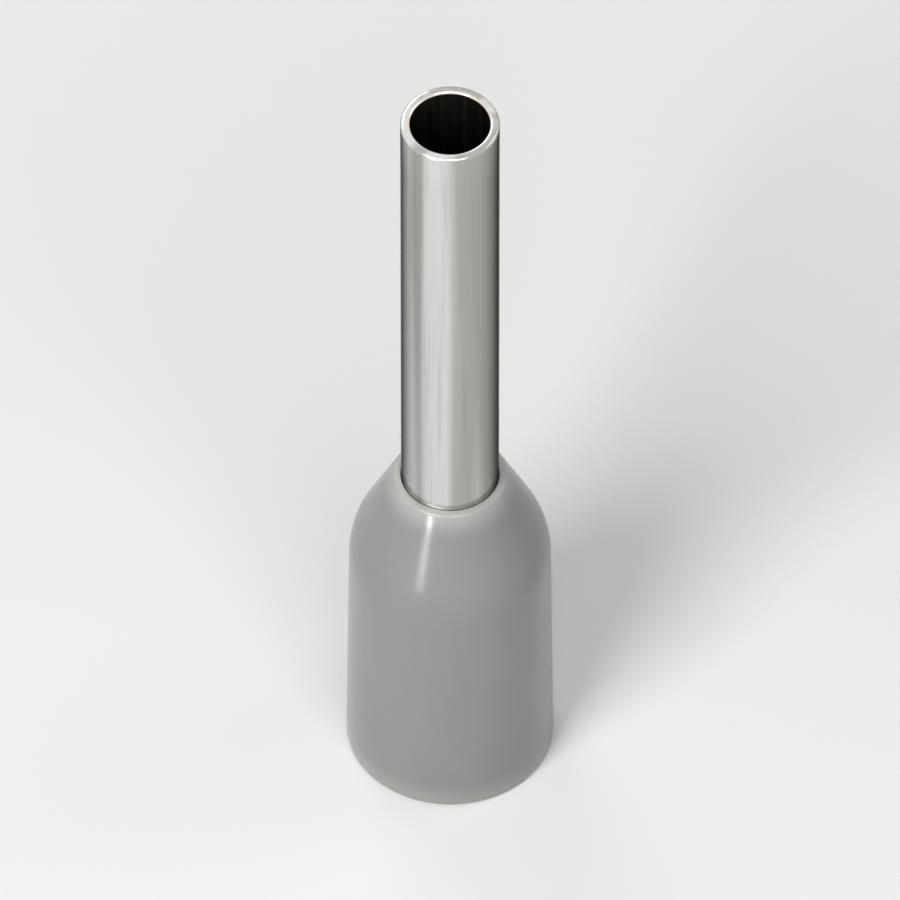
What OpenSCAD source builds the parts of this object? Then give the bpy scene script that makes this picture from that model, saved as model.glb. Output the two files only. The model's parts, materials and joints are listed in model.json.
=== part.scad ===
// Insulated wire ferrule: a tinned copper sleeve gripped in a moulded collar.
// The ferrule stands on the collar's mouth, with its axis along +Z and the
// origin at the centre of the mouth rim. All sizes are in millimetres.

/* [Sleeve] */
// Outside diameter of the metal sleeve
sleeve_d = 1.5; // [1.2:0.05:1.9]
// Wall of the metal sleeve
sleeve_wall = 0.15; // [0.1:0.01:0.2]
// Length of sleeve that stands out of the collar
sleeve_reach = 8.2; // [6:0.1:18]
// Rounding of the two edges at the sleeve's cut tip
tip_round = 0.05; // [0.02:0.01:0.07]

/* [Flare inside the collar] */
// Half angle of the flare and of the funnel that it sits in
flare_angle = 27; // [18:1:40]
// Radius of the bend from the sleeve into its flare, on the outer face
flare_bend = 0.5; // [0.3:0.05:0.9]
// Gap from the flare's rim to the wall of the socket
flare_rim_gap = 0.15; // [0.05:0.01:0.25]

/* [Collar] */
// Length of the collar from its mouth to its neck lip
collar_l = 6.1; // [5:0.1:9]
// Diameter of the socket that takes the wire's insulation
socket_d = 2.5; // [2.3:0.05:3.4]
// Wall of the collar's skirt where it meets the shoulder
skirt_wall = 0.3; // [0.2:0.01:0.5]
// Draft of the skirt: how much its radius grows towards the mouth
skirt_draft = 0.05; // [0:0.01:0.15]
// Length of the shoulder from the end of the skirt to the neck lip
shoulder_l = 1.9; // [1.5:0.05:2.4]
// Radius of the blend from the skirt into the shoulder
shoulder_blend = 1.7; // [0.4:0.05:2]

/* [Mouth and neck of the collar] */
// Rounding of the mouth's outer edge
mouth_round = 0.08; // [0.03:0.01:0.12]
// How much the lead-in opens the socket's radius at the mouth
lead_in = 0.13; // [0.05:0.01:0.18]
// Length of the lead-in along the axis
lead_in_l = 0.3; // [0.1:0.05:0.8]
// Length of the neck bore that grips the sleeve
grip_l = 1; // [0.5:0.05:1.6]
// Taper of that grip: how much its radius grows from the neck lip to the flare
grip_taper = 0.03; // [0.01:0.005:0.06]
// Wall of the neck lip round the sleeve
lip_wall = 0.12; // [0.08:0.01:0.25]
// Rounding of the neck lip's outer edge
lip_round = 0.05; // [0.02:0.01:0.07]

/* [Fit] */
// Clearance all round between the sleeve and the collar
grip_gap = 0.01; // [0.005:0.005:0.03]

/* [Hidden] */
$fn = 96;

// Straight pieces in one rounded stretch of an outline
ARC_STEPS = 6;

sleeve_r = sleeve_d / 2;
bore_r = sleeve_r - sleeve_wall;
socket_r = socket_d / 2;
flare_r = socket_r - flare_rim_gap;
neck_bore_r = sleeve_r + grip_gap;
neck_r = neck_bore_r + lip_wall;
skirt_r = socket_r + skirt_wall;
mouth_r = skirt_r + skirt_draft;
skirt_l = collar_l - shoulder_l;
tip_z = collar_l + sleeve_reach;

// The flare's two faces and the funnel bend round one centre
grip_angle = atan(grip_taper / grip_l);
bend_x = sleeve_r + grip_taper + flare_bend * cos(grip_angle);
bend_z = collar_l - grip_l + flare_bend * sin(grip_angle);

// Points of an arc round [x, z], from angle a to angle b
function arc(x, z, r, a, b, steps = ARC_STEPS) =
    [for (i = [0:steps]) let (t = a + (b - a) * i / steps) [x + r * cos(t), z + r * sin(t)]];

// Bend of one throat face, on a radius r of its own, from the grip down to the flare
function throat(r) = arc(bend_x, bend_z, r, 180 + grip_angle, 180 + flare_angle);

// Where the straight flank under that bend reaches radius x
function flank(r, x) =
    let (end = throat(r)[ARC_STEPS])
    [x, end[1] - (x - end[0]) / tan(flare_angle)];

// Tangent from the shoulder's blend to the neck lip: its angle from the axis
function shoulder_angle(x, z) =
    let (dx = x - (skirt_r - shoulder_blend), dz = z - skirt_l)
    atan2(dz, dx) - acos(shoulder_blend / norm([dx, dz]));

module sleeve() {
    outer_end = flank(flare_bend, flare_r);
    // The rim is cut square to the flare's wall
    inner_end = outer_end - sleeve_wall * [cos(flare_angle), sin(flare_angle)];
    throat_out = throat(flare_bend);
    throat_in = throat(flare_bend + sleeve_wall);
    profile = concat(
        [inner_end, outer_end],
        [for (i = [ARC_STEPS:-1:0]) throat_out[i]],
        [[sleeve_r, collar_l]],
        arc(sleeve_r - tip_round, tip_z - tip_round, tip_round, 0, 90),
        arc(bore_r + tip_round, tip_z - tip_round, tip_round, 90, 180),
        [[bore_r, collar_l]],
        throat_in
    );
    color([0.78, 0.78, 0.76])
    rotate_extrude()
    polygon(profile);
}

module collar() {
    neck_z = collar_l - lip_round;
    neck_x = neck_r - lip_round;
    slope = shoulder_angle(neck_r, neck_z);
    funnel_r = flare_bend - grip_gap;
    funnel_mouth = flank(funnel_r, socket_r);
    throat_in = throat(funnel_r);
    profile = concat(
        arc(mouth_r - mouth_round, mouth_round, mouth_round, -90, 0),
        arc(skirt_r - shoulder_blend, skirt_l, shoulder_blend, 0, slope),
        arc(neck_x, neck_z, lip_round, 0, 90),
        [[neck_bore_r, collar_l]],
        throat_in,
        [funnel_mouth, [socket_r, lead_in_l], [socket_r + lead_in, 0]]
    );
    color([0.58, 0.58, 0.59])
    rotate_extrude()
    polygon(profile);
}

sleeve();
collar();
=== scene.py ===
"""Dresses a wire ferrule: a tinned sleeve held in a moulded grey collar.

The ferrule stands on the collar's mouth, with its axis along +Z and the origin
at the centre of the mouth rim. Pieces are modelled in millimetres and brought
to metres when they are done, because an operator's tolerances suit that size.
"""

import json
import math

import bmesh
import bpy
from bpy.props import FloatProperty, FloatVectorProperty, IntProperty, PointerProperty
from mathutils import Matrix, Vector


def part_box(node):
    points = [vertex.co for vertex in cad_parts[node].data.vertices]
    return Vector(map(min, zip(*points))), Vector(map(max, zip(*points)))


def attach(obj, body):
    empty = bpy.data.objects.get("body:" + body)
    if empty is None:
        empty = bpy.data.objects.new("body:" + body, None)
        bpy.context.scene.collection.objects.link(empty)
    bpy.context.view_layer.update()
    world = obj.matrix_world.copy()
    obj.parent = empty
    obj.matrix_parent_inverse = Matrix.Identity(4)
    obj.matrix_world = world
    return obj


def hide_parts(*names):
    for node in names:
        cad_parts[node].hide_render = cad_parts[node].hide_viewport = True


bl_info = {
    "name": "Wire Ferrule",
    "version": (1, 0, 0),
    "blender": (4, 5, 0),
    "location": "View3D > Sidebar > Ferrule",
    "description": "Models and dresses an insulated wire ferrule on its stage",
    "category": "Object",
}

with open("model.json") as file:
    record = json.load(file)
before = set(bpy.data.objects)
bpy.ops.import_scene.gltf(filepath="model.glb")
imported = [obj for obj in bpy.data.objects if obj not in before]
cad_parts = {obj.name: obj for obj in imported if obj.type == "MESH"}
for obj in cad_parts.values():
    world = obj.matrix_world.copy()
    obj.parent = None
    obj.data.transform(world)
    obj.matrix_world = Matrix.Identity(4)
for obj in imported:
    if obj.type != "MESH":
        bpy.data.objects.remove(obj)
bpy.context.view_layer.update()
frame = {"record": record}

MM = 0.001
BODY = "root"


# ---------------------------------------------------------------- frame sizes


def mount_radius(name):
    """Radius of one of the record's round mounts, in metres."""
    mount = next(m for m in frame["record"]["mounts"] if m["name"] == name)
    return mount["dims"]["r_mm"] * MM


# Upper far corner of each CAD node, in metres: its X is a radius and its Z a height
SLEEVE_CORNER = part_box("sleeve")[1]
COLLAR_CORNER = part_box("collar")[1]


# ----------------------------------------------------------------- properties


def length(name, description, default):
    """A length in metres, as the add-on's panel shows it."""
    return FloatProperty(
        name=name,
        description=description,
        default=default,
        min=0.0,
        precision=5,
        subtype="DISTANCE",
        unit="LENGTH",
    )


def colour(name, description, default):
    """A linear colour."""
    return FloatVectorProperty(
        name=name,
        description=description,
        default=default,
        size=3,
        min=0.0,
        max=1.0,
        subtype="COLOR",
    )


class SleeveSizes(bpy.types.PropertyGroup):
    """Sizes and finish of the metal sleeve."""

    radius: length("Radius", "Outside radius of the sleeve", mount_radius("terminal_end"))
    bore: length("Bore", "Radius of the sleeve's bore", mount_radius("conductor_bore"))
    tip: length("Tip height", "Height of the sleeve's cut tip", SLEEVE_CORNER.z)
    flare: length("Flare radius", "Outside radius of the flare's rim", SLEEVE_CORNER.x)
    tip_round: length("Tip rounding", "Rounding of the tip's two edges", 0.05 * MM)
    rim_round: length("Rim rounding", "Rounding of the flare's rim", 0.03 * MM)
    tint: colour("Tin", "Colour of the tin plate", (0.73, 0.724, 0.707))
    bore_tint: colour("Bore tin", "Colour of the thinner tin inside the bore", (0.72, 0.67, 0.61))


class ThroatSizes(bpy.types.PropertyGroup):
    """The shape that the sleeve's flare and the collar's funnel share."""

    angle: FloatProperty(
        name="Flare angle",
        description="Half angle of the flare and the funnel",
        default=math.radians(27.0),
        min=math.radians(10.0),
        max=math.radians(60.0),
        subtype="ANGLE",
        unit="ROTATION",
    )
    bend: length("Bend", "Radius of the bend on the sleeve's outer face", 0.5 * MM)
    grip: length("Grip length", "Length of the neck bore on the sleeve", 1.0 * MM)
    taper: length("Grip taper", "Growth of the grip's radius towards the flare", 0.03 * MM)
    gap: length("Grip gap", "Clearance between sleeve and collar", 0.01 * MM)


class CollarSizes(bpy.types.PropertyGroup):
    """Sizes and finish of the moulded collar."""

    mouth: length("Mouth radius", "Outside radius at the mouth", COLLAR_CORNER.x)
    height: length("Length", "Length from the mouth to the neck lip", COLLAR_CORNER.z)
    socket: length("Socket radius", "Radius of the wire's socket", mount_radius("wire_socket"))
    draft: length("Draft", "Growth of the skirt's radius to the mouth", 0.05 * MM)
    shoulder: length("Shoulder", "Length of the shoulder", 1.9 * MM)
    blend: length("Blend", "Radius from the skirt into the shoulder", 1.7 * MM)
    lip: length("Lip wall", "Wall of the neck lip round the sleeve", 0.12 * MM)
    lip_round: length("Lip rounding", "Rounding of the neck lip's edge", 0.05 * MM)
    mouth_round: length("Mouth rounding", "Rounding of the mouth's outer edge", 0.08 * MM)
    lead_in: length("Lead-in", "Growth of the socket's radius at the mouth", 0.13 * MM)
    lead_in_length: length("Lead-in length", "Length of the lead-in", 0.3 * MM)
    lead_round: length("Lead-in rounding", "Rounding of the lead-in's edge at the rim", 0.03 * MM)
    lead_top_round: length("Lead-in top", "Rounding where the lead-in meets the socket", 0.06 * MM)
    funnel_round: length("Funnel rounding", "Rounding of the funnel's mouth", 0.08 * MM)
    tint: colour("Plastic", "Colour of the moulded plastic", (0.256, 0.256, 0.263))
    # Painted light: a paler colour at the thin neck, for light shining through it beside the
    # sleeve
    neck_glow: colour("Neck", "Colour of the thin neck beside the sleeve", (0.385, 0.38, 0.368))
    # Painted light: a paler, warmer colour at the thin rim round the mouth, for light shining
    # through it
    rim_glow: colour("Rim", "Colour of the thin rim round the mouth", (0.35, 0.33, 0.31))
    # Painted shade: a darker, warmer colour deep in the socket
    socket_shade: colour("Socket", "Colour deep in the socket", (0.24, 0.195, 0.14))


class FerruleSettings(bpy.types.PropertyGroup):
    """All that a user can change."""

    sides: IntProperty(
        name="Sides",
        description="Faces round each turned form",
        default=192,
        min=24,
        max=512,
    )
    sleeve: PointerProperty(type=SleeveSizes)
    throat: PointerProperty(type=ThroatSizes)
    collar: PointerProperty(type=CollarSizes)


# ------------------------------------------------------------------- outlines

# Straight pieces in one arc of an outline
ARC_STEPS = 12
# Stretches that the long straight runs of an outline are cut into
SLEEVE_STRETCHES = 10
SKIRT_STRETCHES = 8
SHOULDER_STRETCHES = 4


def arc(centre, radius, start, end):
    """Points (radius, height) of an arc round centre, between two angles."""
    turns = [start + (end - start) * i / ARC_STEPS for i in range(ARC_STEPS + 1)]
    return [(centre[0] + radius * math.cos(t), centre[1] + radius * math.sin(t)) for t in turns]


def stretches(start, end, count):
    """Points that cut a straight run into count equal stretches, without its two ends."""
    return [
        tuple(a + (b - a) * i / count for a, b in zip(start, end))
        for i in range(1, count)
    ]


class Throat:
    """The bend from the sleeve into its flare, and the flank below it, in millimetres."""

    def __init__(self, settings):
        sizes = settings.throat
        radius = settings.sleeve.radius / MM
        self.bend = sizes.bend / MM
        self.angle = sizes.angle
        self.lean = math.atan(sizes.taper / sizes.grip)
        self.centre = (
            radius + sizes.taper / MM + self.bend * math.cos(self.lean),
            (settings.collar.height - sizes.grip) / MM + self.bend * math.sin(self.lean),
        )

    def face(self, radius):
        """The bend of one face, from the grip down to the flank."""
        return arc(self.centre, radius, math.pi + self.lean, math.pi + self.angle)

    def flank(self, radius, reach):
        """Where the flank under the bend of one face comes to a given reach."""
        end = self.face(radius)[-1]
        return (reach, end[1] - (reach - end[0]) / math.tan(self.angle))


# ------------------------------------------------------------------ modelling

# Faces across a rounded edge that is seen, across the flare's rim and across an inner edge
EDGE_STEPS = 6
RIM_STEPS = 3
INNER_STEPS = 4
# How far off a ring of the outline, in mm, a vertex still counts as on it
RING_SLACK = 0.001
# Edges that turn by less than this are shaded smooth
SMOOTH_ANGLE = math.radians(32)


def start_ring(name, settings, point):
    """Adds an open ring of edges and stays in edit mode with it selected."""
    bpy.ops.object.select_all(action="DESELECT")
    bpy.ops.mesh.primitive_circle_add(vertices=settings.sides, radius=point[0])
    piece = bpy.context.object
    piece.name = name
    piece.data.name = name
    bpy.ops.object.mode_set(mode="EDIT")
    bpy.ops.transform.translate(value=(0, 0, point[1]))
    return piece


def draw_wall(settings, name, outline):
    """Draws a ring along an outline of (radius, height) points and closes it into a solid wall."""
    piece = start_ring(name, settings, outline[0])
    for before, after in zip(outline, outline[1:]):
        rise = (0, 0, after[1] - before[1])
        bpy.ops.mesh.extrude_region_move(TRANSFORM_OT_translate={"value": rise})
        grow = after[0] / before[0]
        bpy.ops.transform.resize(value=(grow, grow, 1), center_override=(0, 0, after[1]))
    bpy.ops.mesh.select_all(action="DESELECT")
    bpy.ops.mesh.select_non_manifold(use_wire=False, use_multi_face=False, use_verts=False)
    bpy.ops.mesh.bridge_edge_loops()
    return piece


def on_ring(vertex, point):
    """Does a vertex lie on the ring of that radius and height?"""
    reach = math.hypot(vertex.co.x, vertex.co.y)
    return abs(reach - point[0]) < RING_SLACK and abs(vertex.co.z - point[1]) < RING_SLACK


def round_ring(piece, point, size, steps=EDGE_STEPS):
    """Bevels the ring of edges at one point of the outline."""
    bpy.ops.mesh.select_mode(type="EDGE")
    bpy.ops.mesh.select_all(action="DESELECT")
    mesh = bmesh.from_edit_mesh(piece.data)
    for edge in mesh.edges:
        edge.select_set(all(on_ring(v, point) for v in edge.verts))
    bmesh.update_edit_mesh(piece.data)
    bpy.ops.mesh.bevel(offset=size, segments=steps, affect="EDGES")


def finish_piece(piece, node, material):
    """Closes a piece, brings it to metres, hides the CAD node it stands for and parents it to the
    body.
    """
    bpy.ops.mesh.select_all(action="SELECT")
    bpy.ops.mesh.normals_make_consistent(inside=False)
    bpy.ops.transform.resize(value=(MM, MM, MM), center_override=(0, 0, 0))
    bpy.ops.object.mode_set(mode="OBJECT")
    bpy.ops.object.transform_apply(location=True, rotation=True, scale=True)
    bpy.ops.object.shade_smooth_by_angle(angle=SMOOTH_ANGLE)
    piece.data.materials.append(material)
    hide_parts(node)
    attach(piece, BODY)


# ------------------------------------------------------------------ materials

WHITE = (1.0, 1.0, 1.0, 1.0)

# Sockets of a Mix node that mixes colours
MIX_FACTOR, MIX_FIRST, MIX_SECOND, MIX_RESULT = 0, 6, 7, 2


class Nodes:
    """Short calls that add and link the nodes of one material."""

    def __init__(self, name):
        self.material = bpy.data.materials.new(name)
        self.material.use_nodes = True
        self.tree = self.material.node_tree
        self.shader = self.tree.nodes["Principled BSDF"]

    def add(self, kind, **given):
        """A new node with some of its properties set."""
        node = self.tree.nodes.new(kind)
        for key, value in given.items():
            setattr(node, key, value)
        return node

    def link(self, source, target):
        """Joins an output to an input."""
        self.tree.links.new(source, target)

    def fill(self, targets, sources):
        """Sets each input from a number, a colour or another node's output."""
        for target, source in zip(targets, sources):
            if isinstance(source, bpy.types.NodeSocket):
                self.link(source, target)
            else:
                target.default_value = source

    def surface(self, **inputs):
        """Sets inputs of the material's shader, with spaces in their names as underscores."""
        targets = [self.shader.inputs[name.replace("_", " ")] for name in inputs]
        self.fill(targets, inputs.values())

    def math(self, operation, *inputs):
        """One sum on numbers."""
        node = self.add("ShaderNodeMath", operation=operation)
        self.fill(node.inputs, inputs)
        return node.outputs["Value"]

    def span(self, source, low, high, to_low=0.0, to_high=1.0, kind="SMOOTHSTEP"):
        """Takes the values from low to high over to others, and holds them beyond both ends."""
        node = self.add("ShaderNodeMapRange", interpolation_type=kind)
        self.fill(node.inputs, (source, low, high, to_low, to_high))
        return node.outputs["Result"]

    def mix(self, factor, first, second):
        """The first colour where factor is 0, and the second where it is 1."""
        node = self.add("ShaderNodeMix", data_type="RGBA")
        targets = [node.inputs[i] for i in (MIX_FACTOR, MIX_FIRST, MIX_SECOND)]
        self.fill(targets, (factor, first, second))
        return node.outputs[MIX_RESULT]

    def noise(self, where, scale, detail, roughness):
        """A noise pattern around 0.5, with scale in cells per mm."""
        node = self.add("ShaderNodeTexNoise")
        names = ("Vector", "Scale", "Detail", "Roughness")
        self.fill([node.inputs[name] for name in names], (where, scale, detail, roughness))
        return node.outputs["Fac"]

    def bump(self, height, distance, strength, normal=None):
        """A normal that follows a height, on top of another normal if one is given."""
        node = self.add("ShaderNodeBump")
        names = ("Height", "Distance", "Strength")
        self.fill([node.inputs[name] for name in names], (height, distance, strength))
        if normal is not None:
            self.link(normal, node.inputs["Normal"])
        return node.outputs["Normal"]

    def place(self, scale=(1.0, 1.0, 1.0)):
        """Object coordinates in millimetres, stretched by scale."""
        where = self.add("ShaderNodeTexCoord")
        mapping = self.add("ShaderNodeMapping", vector_type="POINT")
        mapping.inputs["Scale"].default_value = tuple(s / MM for s in scale)
        self.link(where.outputs["Object"], mapping.inputs["Vector"])
        return mapping.outputs["Vector"]

    def round_place(self):
        """Distance from the axis and height, in millimetres."""
        parts = self.add("ShaderNodeSeparateXYZ")
        self.link(self.place(), parts.inputs["Vector"])
        squares = [self.math("POWER", parts.outputs[axis], 2.0) for axis in ("X", "Y")]
        return self.math("SQRT", self.math("ADD", *squares)), parts.outputs["Z"]


def rgba(tint, gain=1.0):
    """A colour times gain, as a socket takes it."""
    return tuple(min(1.0, c * gain) for c in tint) + (1.0,)


# Noise in the tin: cells per mm, detail and roughness
TIN_BANDS = (1.5, 2.0, 0.5)
DRAW_LINES = (14.0, 3.0, 0.6)
TIN_GRAIN = (40.0, 2.0, 0.6)
# The bands and the lines are drawn out along the tube
DRAWN_STRETCH = (1.0, 1.0, 0.02)
# Values of the noise between which a band of painted dark reflection or a draw line comes in
BAND_EDGES = (0.43, 0.58)
LINE_EDGES = (0.5, 0.75)
# Shares of the tin's red, green and blue that a band of painted dark reflection keeps
PAINTED_REFLECTION_SHARES = (0.63, 0.615, 0.58)
# How dark a draw line is beside a band of painted dark reflection, and how much of it shows
LINE_GAIN = 0.82
LINE_SHARE = 0.35
# Values that most of the noise lies between, and the roughness at both
TIN_NOISE = (0.3, 0.7)
BAND_ROUGHNESS = (0.09, 0.14)
LINE_ROUGHNESS = (0.0, 0.08)
# Heights of the bump, and its strength
BAND_HEIGHT = 0.012 * MM
LINE_HEIGHT = 0.003 * MM
TIN_GRAIN_HEIGHT = 0.0006 * MM
TIN_BUMP = 0.6
# Shares of the sleeve's wall, from the bore, between which the tip turns to the bore's tin
BORE_FADE = (0.4, 0.1)
# How much the tin still mirrors at a grazing angle
EDGE_TINT = (0.12, 0.12, 0.12, 1.0)


def tin_material(settings):
    """Bright tin plate over a drawn tube, with bands of painted dark reflection and faint draw
    lines, also darkened as painted reflection, along its length.
    """
    m = Nodes("bright_tin")
    sizes = settings.sleeve
    along = m.place(DRAWN_STRETCH)
    bands = m.noise(along, *TIN_BANDS)
    lines = m.noise(along, *DRAW_LINES)
    grain = m.noise(m.place(), *TIN_GRAIN)

    # Painted reflection: darker bands and draw lines along the tube stand in for dark surroundings
    # mirrored in the tin
    painted_dark_reflection = tuple(c * share for c, share in zip(sizes.tint, PAINTED_REFLECTION_SHARES))
    tin = m.mix(m.span(bands, *BAND_EDGES), rgba(sizes.tint), rgba(painted_dark_reflection))
    tin = m.mix(m.span(lines, *LINE_EDGES, 0.0, LINE_SHARE), tin, rgba(painted_dark_reflection, LINE_GAIN))
    reach, _ = m.round_place()
    bore = sizes.bore / MM
    wall = sizes.radius / MM - bore
    inside = m.span(reach, *(bore + share * wall for share in BORE_FADE))
    tin = m.mix(inside, tin, rgba(sizes.bore_tint))

    band_roughness = m.span(bands, *TIN_NOISE, *BAND_ROUGHNESS)
    line_roughness = m.span(lines, *TIN_NOISE, *LINE_ROUGHNESS)
    flats = m.bump(bands, BAND_HEIGHT, TIN_BUMP)
    scores = m.bump(lines, LINE_HEIGHT, TIN_BUMP, flats)
    m.surface(
        Base_Color=tin,
        Roughness=m.math("ADD", band_roughness, line_roughness),
        Normal=m.bump(grain, TIN_GRAIN_HEIGHT, TIN_BUMP, scores),
        Metallic=1.0,
        Specular_Tint=EDGE_TINT,
    )
    return m.material


# Noise in the plastic: cells per mm, detail and roughness
FLOW_MARKS = (0.9, 1.0, 0.4)
PLASTIC_GRAIN = (34.0, 2.0, 0.5)
# The flow marks are drawn out along the collar
FLOW_STRETCH = (1.0, 1.0, 0.3)
# Values that the flow marks lie between, and the colour's gain and the roughness at both
FLOW_NOISE = (0.2, 0.8)
FLOW_GAINS = (0.96, 1.04)
FLOW_ROUGHNESS = (0.18, 0.23)
# Heights of the bump, and its strength
FLOW_HEIGHT = 0.03 * MM
PLASTIC_GRAIN_HEIGHT = 0.0008 * MM
PLASTIC_BUMP = 0.5
# Lengths in mm over which the neck and the mouth's rim turn paler, as painted light for light
# shining through their thin walls
NECK_FADE = 0.42
RIM_FADE = 0.55
# Depths in mm in the wall, below the neck lip and above the mouth, between which the painted shade
# deep in the socket comes in
WALL_FADE = (0.16, 0.04)
NECK_SIDE_FADE = (1.2, 1.6)
MOUTH_SIDE_FADE = (0.15, 1.6)
PLASTIC_IOR = 1.48
# Share of the light that goes into the plastic and comes out again, how far it gets, and
# how far red, green and blue get beside one another
SEEP_SHARE = 0.25
SEEP_REACH = 0.45 * MM
SEEP_TINT = (1.0, 0.74, 0.52)


def plastic_material(settings):
    """Glossy grey plastic that lets a little warm light through its thin walls, with painted light
    at the neck and the mouth's rim and painted shade deep in the socket.
    """
    m = Nodes("grey_plastic")
    sizes = settings.collar
    top = sizes.height / MM
    bore = sizes.socket / MM
    reach, height = m.round_place()
    flow = m.noise(m.place(FLOW_STRETCH), *FLOW_MARKS)
    grain = m.noise(m.place(), *PLASTIC_GRAIN)

    pale = m.span(flow, *FLOW_NOISE, kind="LINEAR")
    grey = m.mix(pale, *(rgba(sizes.tint, gain) for gain in FLOW_GAINS))
    # Painted light: the neck turns paler towards the lip
    grey = m.mix(m.span(height, top - NECK_FADE, top), grey, rgba(sizes.neck_glow))
    # Painted light: the skirt turns paler and warmer towards the mouth's rim
    grey = m.mix(m.span(height, RIM_FADE, 0.0), grey, rgba(sizes.rim_glow))
    # Painted shade: darker and warmer inside the socket, away from the neck and the mouth
    in_wall = m.span(reach, *(bore + depth for depth in WALL_FADE))
    below_neck = m.span(height, *(top - depth for depth in NECK_SIDE_FADE))
    above_mouth = m.span(height, *MOUTH_SIDE_FADE)
    deep = m.math("MULTIPLY", m.math("MULTIPLY", in_wall, below_neck), above_mouth)
    grey = m.mix(deep, grey, rgba(sizes.socket_shade))

    ripple = m.bump(flow, FLOW_HEIGHT, PLASTIC_BUMP)
    m.surface(
        Base_Color=grey,
        Roughness=m.span(flow, *FLOW_NOISE, *FLOW_ROUGHNESS, kind="LINEAR"),
        Normal=m.bump(grain, PLASTIC_GRAIN_HEIGHT, PLASTIC_BUMP, ripple),
        IOR=PLASTIC_IOR,
        Subsurface_Weight=SEEP_SHARE,
        Subsurface_Radius=SEEP_TINT,
        Subsurface_Scale=SEEP_REACH,
    )
    return m.material


# The floor where it is seen, and as the rays that only light things find it
FLOOR_TINT = (0.83, 0.835, 0.842, 1.0)
BOUNCE_TINT = (0.57, 0.57, 0.57, 1.0)
FLOOR_ROUGHNESS = 0.9
FLOOR_SPECULAR = 0.1
# Distances in mm between which the floor turns white
FLOOR_FADE = (8.0, 40.0)
# Strength of the surroundings as a light
AMBIENT = 0.23


def seen_ray(tree):
    """1 for camera, glossy and transmission rays, and 0 for the rays that only light things."""
    path = tree.nodes.new("ShaderNodeLightPath")
    seen = path.outputs["Is Camera Ray"]
    for name in ("Is Glossy Ray", "Is Transmission Ray"):
        either = tree.nodes.new("ShaderNodeMath")
        either.operation = "MAXIMUM"
        tree.links.new(seen, either.inputs[0])
        tree.links.new(path.outputs[name], either.inputs[1])
        seen = either.outputs["Value"]
    return seen


def floor_material():
    """A plain pale matt floor that turns white well away from the ferrule."""
    m = Nodes("pale_floor")
    seen = seen_ray(m.tree)
    m.surface(
        Base_Color=m.mix(seen, BOUNCE_TINT, FLOOR_TINT),
        Roughness=FLOOR_ROUGHNESS,
        Specular_IOR_Level=FLOOR_SPECULAR,
    )
    glow = m.add("ShaderNodeEmission")
    glow.inputs["Color"].default_value = WHITE
    away = m.add("ShaderNodeVectorMath", operation="LENGTH")
    m.link(m.place(), away.inputs[0])
    far = m.math("MULTIPLY", seen, m.span(away.outputs["Value"], *FLOOR_FADE))
    blend = m.add("ShaderNodeMixShader")
    m.fill(blend.inputs, (far, m.shader.outputs["BSDF"], glow.outputs["Emission"]))
    m.link(blend.outputs["Shader"], m.tree.nodes["Material Output"].inputs["Surface"])
    return m.material


def pale_world():
    """White where it is seen, and dimmer where it only lights things."""
    world = bpy.data.worlds.new("surroundings")
    world.use_nodes = True
    tree = world.node_tree
    sky = tree.nodes["Background"]
    sky.inputs["Color"].default_value = WHITE
    strength = tree.nodes.new("ShaderNodeMapRange")
    tree.links.new(seen_ray(tree), strength.inputs["Value"])
    strength.inputs["To Min"].default_value = AMBIENT
    tree.links.new(strength.outputs["Result"], sky.inputs["Strength"])
    return world


# ------------------------------------------------------------------ operators


class FERRULE_OT_sleeve(bpy.types.Operator):
    """Model the tinned sleeve with its flared inner end"""

    bl_idname = "ferrule.sleeve"
    bl_label = "Sleeve"

    def execute(self, context):
        settings = context.scene.ferrule
        sizes = settings.sleeve
        throat = Throat(settings)
        radius, bore, tip = sizes.radius / MM, sizes.bore / MM, sizes.tip / MM
        wall = radius - bore
        neck = settings.collar.height / MM
        outer = throat.face(throat.bend)
        inner = throat.face(throat.bend + wall)
        rim = throat.flank(throat.bend, sizes.flare / MM)
        rim_in = (rim[0] - wall * math.cos(throat.angle), rim[1] - wall * math.sin(throat.angle))

        # From the flare's rim up the outside, over the tip and down the bore
        outline = [rim, *reversed(outer), (radius, neck)]
        outline += stretches((radius, neck), (radius, tip), SLEEVE_STRETCHES)
        outline += [(radius, tip), (bore, tip)]
        outline += stretches((bore, tip), (bore, neck), SLEEVE_STRETCHES)
        outline += [(bore, neck), *inner, rim_in]
        piece = draw_wall(settings, "tinned_sleeve", outline)
        round_ring(piece, (radius, tip), sizes.tip_round / MM)
        round_ring(piece, (bore, tip), sizes.tip_round / MM)
        round_ring(piece, rim, sizes.rim_round / MM, RIM_STEPS)
        round_ring(piece, rim_in, sizes.rim_round / MM, RIM_STEPS)
        finish_piece(piece, "sleeve", tin_material(settings))
        return {"FINISHED"}


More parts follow.
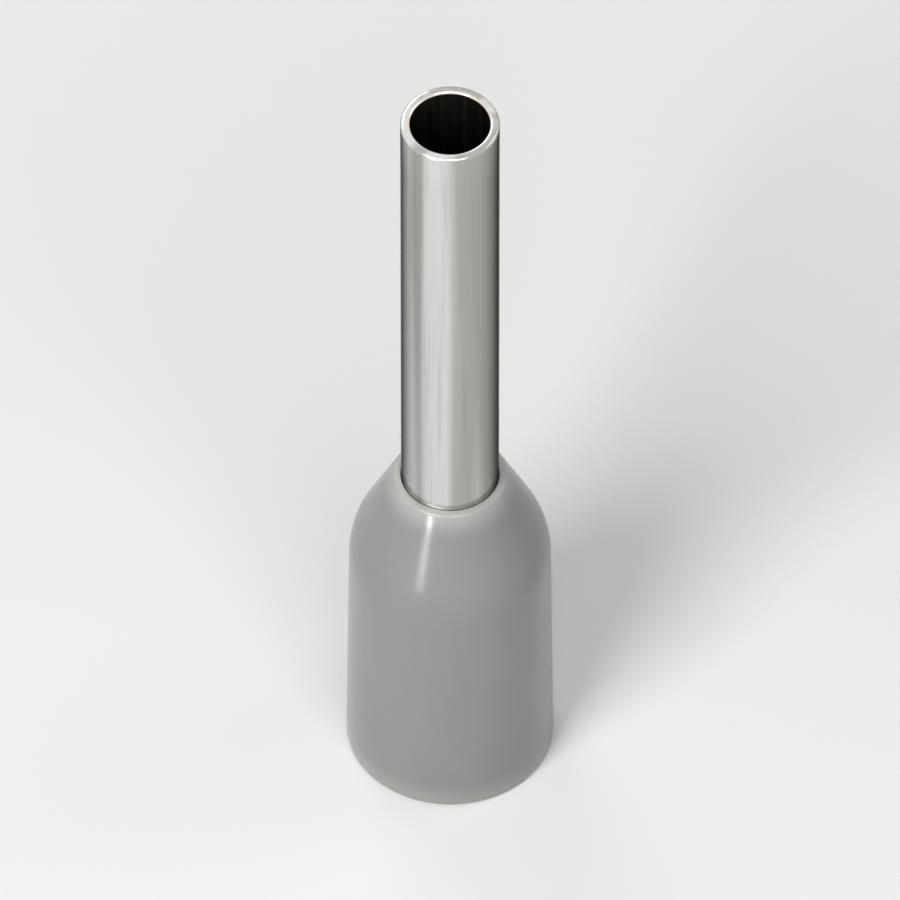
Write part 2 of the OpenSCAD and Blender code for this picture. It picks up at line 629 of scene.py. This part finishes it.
class FERRULE_OT_collar(bpy.types.Operator):
    """Model the moulded collar with its shoulder, socket and funnel"""

    bl_idname = "ferrule.collar"
    bl_label = "Collar"

    def execute(self, context):
        settings = context.scene.ferrule
        sizes = settings.collar
        throat = Throat(settings)
        mouth, height = sizes.mouth / MM, sizes.height / MM
        skirt = mouth - sizes.draft / MM
        socket = sizes.socket / MM
        gap = settings.throat.gap / MM
        neck_bore = settings.sleeve.radius / MM + gap
        neck = neck_bore + sizes.lip / MM
        lip_round = sizes.lip_round / MM
        blend = sizes.blend / MM
        centre = (skirt - blend, height - sizes.shoulder / MM)

        # The shoulder runs straight from its blend to a sharp neck lip, which is rounded later
        across = neck - centre[0]
        up = height - lip_round - centre[1]
        slope = math.atan2(up, across) - math.acos(blend / math.hypot(across, up))
        shoulder = arc(centre, blend, 0.0, slope)
        run = shoulder[-1]
        lip = (run[0] - (height - run[1]) * math.tan(slope), height)
        funnel = throat.face(throat.bend - gap)
        funnel_mouth = throat.flank(throat.bend - gap, socket)
        lead = (socket + sizes.lead_in / MM, 0.0)
        lead_top = (socket, sizes.lead_in_length / MM)

        # From the lead-in's edge up the outside, over the neck lip and down the inside
        outline = [lead, (mouth, 0.0)]
        outline += stretches((mouth, 0.0), shoulder[0], SKIRT_STRETCHES)
        outline += shoulder
        outline += stretches(run, lip, SHOULDER_STRETCHES)
        outline += [lip, (neck_bore, height), *funnel, funnel_mouth]
        outline += stretches(funnel_mouth, lead_top, SKIRT_STRETCHES)
        outline += [lead_top]
        piece = draw_wall(settings, "moulded_collar", outline)
        round_ring(piece, (mouth, 0.0), sizes.mouth_round / MM)
        round_ring(piece, lip, lip_round)
        round_ring(piece, lead, sizes.lead_round / MM, INNER_STEPS)
        round_ring(piece, lead_top, sizes.lead_top_round / MM, INNER_STEPS)
        round_ring(piece, funnel_mouth, sizes.funnel_round / MM, INNER_STEPS)
        finish_piece(piece, "collar", plastic_material(settings))
        return {"FINISHED"}


def face_point(holder, place, aim):
    """Puts a lamp or a camera at a place, facing a point."""
    holder.location = place
    holder.rotation_euler = (aim - place).to_track_quat("-Z", "Y").to_euler()


def soft_lamp(name, place, aim, size, power, tint):
    """Adds an area lamp that faces a point."""
    lamp = bpy.data.lights.new(name, "AREA")
    lamp.shape = "SQUARE"
    lamp.size = size
    lamp.energy = power
    lamp.color = tint
    holder = bpy.data.objects.new(name, lamp)
    bpy.context.scene.collection.objects.link(holder)
    face_point(holder, place, aim)


def polar(azimuth, elevation, distance, aim):
    """A point seen from aim. Azimuth 0 is on the -Y side, and 90 is on +X."""
    a, e = math.radians(azimuth), math.radians(elevation)
    flat = distance * math.cos(e)
    return Vector((flat * math.sin(a), -flat * math.cos(a), distance * math.sin(e))) + aim


# Name, azimuth, elevation, distance in mm, width in mm, power in watts, tint
LAMPS = (
    ("key", -36, 43, 110, 44, 0.086, (1.0, 0.99, 0.975)),
    ("front", 16, 48, 120, 60, 0.044, (0.98, 0.99, 1.0)),
    ("side", 105, 34, 120, 60, 0.014, (1.0, 1.0, 1.0)),
    ("back", 204, 32, 120, 60, 0.027, (1.0, 1.0, 1.0)),
    ("low", -32, 0.5, 110, 12, 0.017, (1.0, 1.0, 1.0)),
)
# Width of the floor, and how far it lies under the mouth rim, in metres
FLOOR_WIDTH = 2.0
FLOOR_GAP = 0.01 * MM
# The camera's angle above the floor in degrees, its distance from the ferrule in metres, and
# the nearest and the farthest that it sees
CAMERA_ELEVATION = 50.0
CAMERA_DISTANCE = 0.4
CAMERA_NEAR = 0.01
CAMERA_FAR = 10.0
# Share of the picture's height that the ferrule takes up
FILL = 0.80


class FERRULE_OT_stage(bpy.types.Operator):
    """Add the floor, the soft lamps, the pale surroundings and the camera"""

    bl_idname = "ferrule.stage"
    bl_label = "Stage"

    def execute(self, context):
        settings = context.scene.ferrule
        scene = context.scene
        bpy.ops.object.select_all(action="DESELECT")
        bpy.ops.mesh.primitive_plane_add(size=FLOOR_WIDTH, location=(0, 0, -FLOOR_GAP))
        floor = context.object
        floor.name = "floor"
        floor.data.materials.append(floor_material())

        tip = settings.sleeve.tip
        aim = Vector((0, 0, tip / 2))
        for name, azimuth, elevation, distance, size, power, tint in LAMPS:
            place = polar(azimuth, elevation, distance * MM, aim)
            soft_lamp(name, place, aim, size * MM, power, tint)

        scene.world = pale_world()
        lean = math.radians(CAMERA_ELEVATION)
        # Ends of the ferrule as the camera sees them, up and down from the origin
        top = tip * math.cos(lean) + settings.sleeve.radius * math.sin(lean)
        low = -settings.collar.mouth * math.sin(lean)
        centre = Vector((0, 0, (top + low) / 2 / math.cos(lean)))
        camera = bpy.data.cameras.new("camera")
        holder = bpy.data.objects.new("camera", camera)
        scene.collection.objects.link(holder)
        face_point(holder, polar(0, CAMERA_ELEVATION, CAMERA_DISTANCE, centre), centre)
        camera.lens = camera.sensor_width * CAMERA_DISTANCE * FILL / (top - low)
        camera.clip_start = CAMERA_NEAR
        camera.clip_end = CAMERA_FAR
        scene.camera = holder
        scene.view_settings.view_transform = "Standard"
        return {"FINISHED"}


class FERRULE_PT_panel(bpy.types.Panel):
    """The ferrule's operators and sizes"""

    bl_idname = "FERRULE_PT_panel"
    bl_label = "Wire Ferrule"
    bl_space_type = "VIEW_3D"
    bl_region_type = "UI"
    bl_category = "Ferrule"

    def draw(self, context):
        settings = context.scene.ferrule
        layout = self.layout
        layout.prop(settings, "sides")
        for group in (settings.sleeve, settings.throat, settings.collar):
            box = layout.box()
            for name in group.__annotations__:
                box.prop(group, name)
        for operator in OPERATORS:
            layout.operator(operator.bl_idname)


PROPERTY_GROUPS = (SleeveSizes, ThroatSizes, CollarSizes, FerruleSettings)
OPERATORS = (FERRULE_OT_sleeve, FERRULE_OT_collar, FERRULE_OT_stage)
CLASSES = PROPERTY_GROUPS + OPERATORS + (FERRULE_PT_panel,)


def register():
    """Makes the add-on's classes known, and gives each scene its sizes."""
    for cls in CLASSES:
        bpy.utils.register_class(cls)
    bpy.types.Scene.ferrule = PointerProperty(type=FerruleSettings)


def unregister():
    """Takes the add-on's classes and sizes away again."""
    del bpy.types.Scene.ferrule
    for cls in reversed(CLASSES):
        bpy.utils.unregister_class(cls)


def main():
    register()
    bpy.ops.ferrule.stage()
    bpy.ops.ferrule.sleeve()
    bpy.ops.ferrule.collar()


if __name__ == "__main__":
    main()
